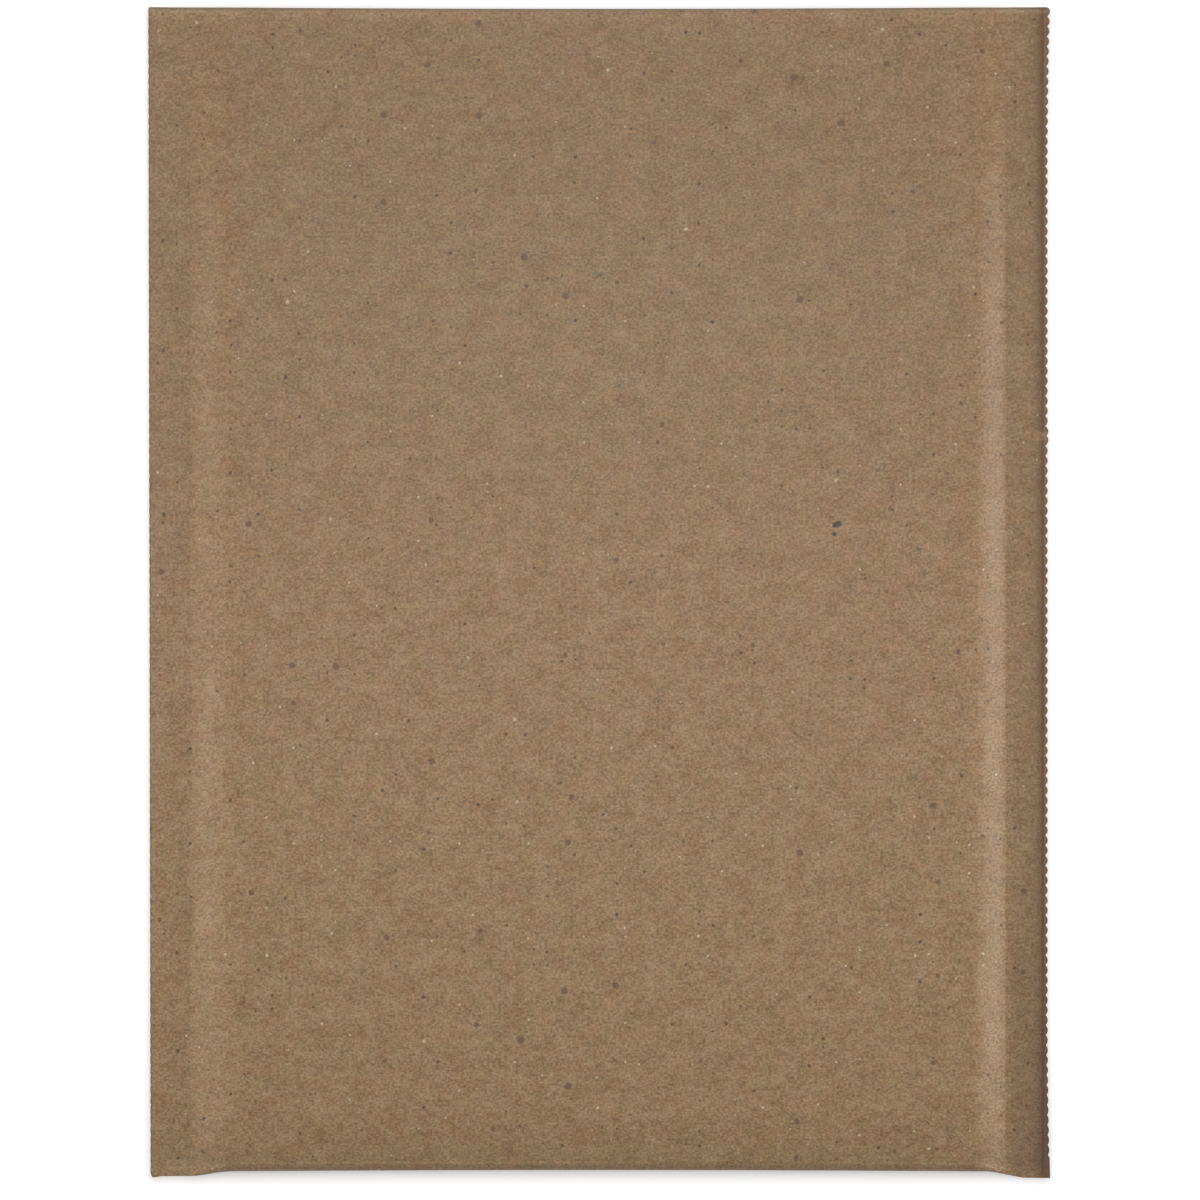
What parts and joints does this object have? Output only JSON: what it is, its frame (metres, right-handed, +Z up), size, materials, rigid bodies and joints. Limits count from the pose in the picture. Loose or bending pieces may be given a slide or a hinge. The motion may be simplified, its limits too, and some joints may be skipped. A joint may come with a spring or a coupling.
{
  "type": "padded envelope",
  "caption": "Kraft paper mailing envelope with a bubble film lining, pressed side seams, a padded bottom fold and a closure flap folded behind, lying face up.",
  "frame": {"origin": "on the table, under the middle of the envelope", "axes": "+X across the envelope towards its scalloped side, +Y along it towards the closure flap's crease, +Z up through the blank front panel"},
  "size_m": [0.2166, 0.2816, 0.0076],
  "materials": {
    "kraft_paper": "matte recycled kraft with fine fibre grain and dark flecks",
    "bubble_film": "clear polyethylene film with air bubbles",
    "hot_melt": "pale tacky hot melt",
    "liner_paper": "smooth silicone-coated paper"
  },
  "bodies": {
    "root": {"kraft_envelope": "kraft_paper", "bubble_lining": "bubble_film", "adhesive_strip": "hot_melt", "release_liner": "liner_paper"}
  },
  "joints": []
}
